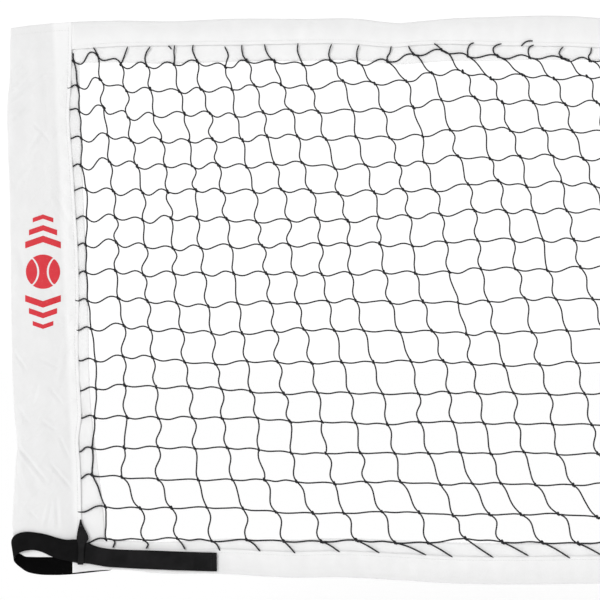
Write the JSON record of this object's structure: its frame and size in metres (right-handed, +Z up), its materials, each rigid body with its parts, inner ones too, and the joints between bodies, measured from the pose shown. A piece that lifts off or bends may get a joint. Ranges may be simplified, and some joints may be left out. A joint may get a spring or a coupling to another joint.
{
  "type": "tennis net",
  "caption": "Portable mini tennis net: knotted twine netting between white cloth bands, with a pole sleeve at each end and a webbing strap at each lower corner.",
  "frame": {"origin": "middle of the head band's top edge, midway between the two poles that hold the net up", "axes": "+X along the net from the sleeve with the emblem to the other, +Z up, -Y towards the front, where the emblem and the strap tails are"},
  "size_m": [3.0494, 0.0161, 0.826],
  "materials": {
    "polyester": "matte",
    "twine": "matte",
    "webbing": "matte",
    "tape": "matte",
    "thread": "satin",
    "thread_black": "satin",
    "ink": "matte"
  },
  "bodies": {
    "net": {"netting": "twine", "head_band": "polyester", "foot_band": "polyester", "left_sleeve": "polyester", "right_sleeve": "polyester", "emblem_print": "ink", "head_needle_thread": "thread", "head_bobbin_thread": "thread", "foot_needle_thread": "thread", "foot_bobbin_thread": "thread", "left_sleeve_needle_thread": "thread", "left_sleeve_bobbin_thread": "thread", "left_strap_loop": "webbing", "left_loop_tape": "tape", "left_keeper": "webbing", "left_keeper_bartack": "thread_black", "left_strap_stitching": "thread_black", "right_sleeve_needle_thread": "thread", "right_sleeve_bobbin_thread": "thread", "right_strap_loop": "webbing", "right_loop_tape": "tape", "right_keeper": "webbing", "right_keeper_bartack": "thread_black", "right_strap_stitching": "thread_black"},
    "left_tail": {"left_strap_tail": "webbing", "left_hook_tape": "tape"},
    "left_tip": {"left_strap_tip": "webbing"},
    "right_tail": {"right_strap_tail": "webbing", "right_hook_tape": "tape"},
    "right_tip": {"right_strap_tip": "webbing"}
  },
  "joints": [
    {"name": "left_tail_peel", "type": "hinge", "parent": "net", "child": "left_tail", "pos_m": [-1.4071, -0.007, -0.78], "axis": [0, 0, -1], "range_deg": [0, 150]},
    {"name": "left_tip_lift", "type": "hinge", "parent": "left_tail", "child": "left_tip", "pos_m": [-1.2471, -0.007, -0.79], "axis": [0, 0, -1], "range_deg": [0, 120]},
    {"name": "right_tail_peel", "type": "hinge", "parent": "net", "child": "right_tail", "pos_m": [1.4071, -0.007, -0.78], "axis": [0, 0, 1], "range_deg": [0, 150]},
    {"name": "right_tip_lift", "type": "hinge", "parent": "right_tail", "child": "right_tip", "pos_m": [1.2471, -0.007, -0.79], "axis": [0, 0, 1], "range_deg": [0, 120]}
  ]
}
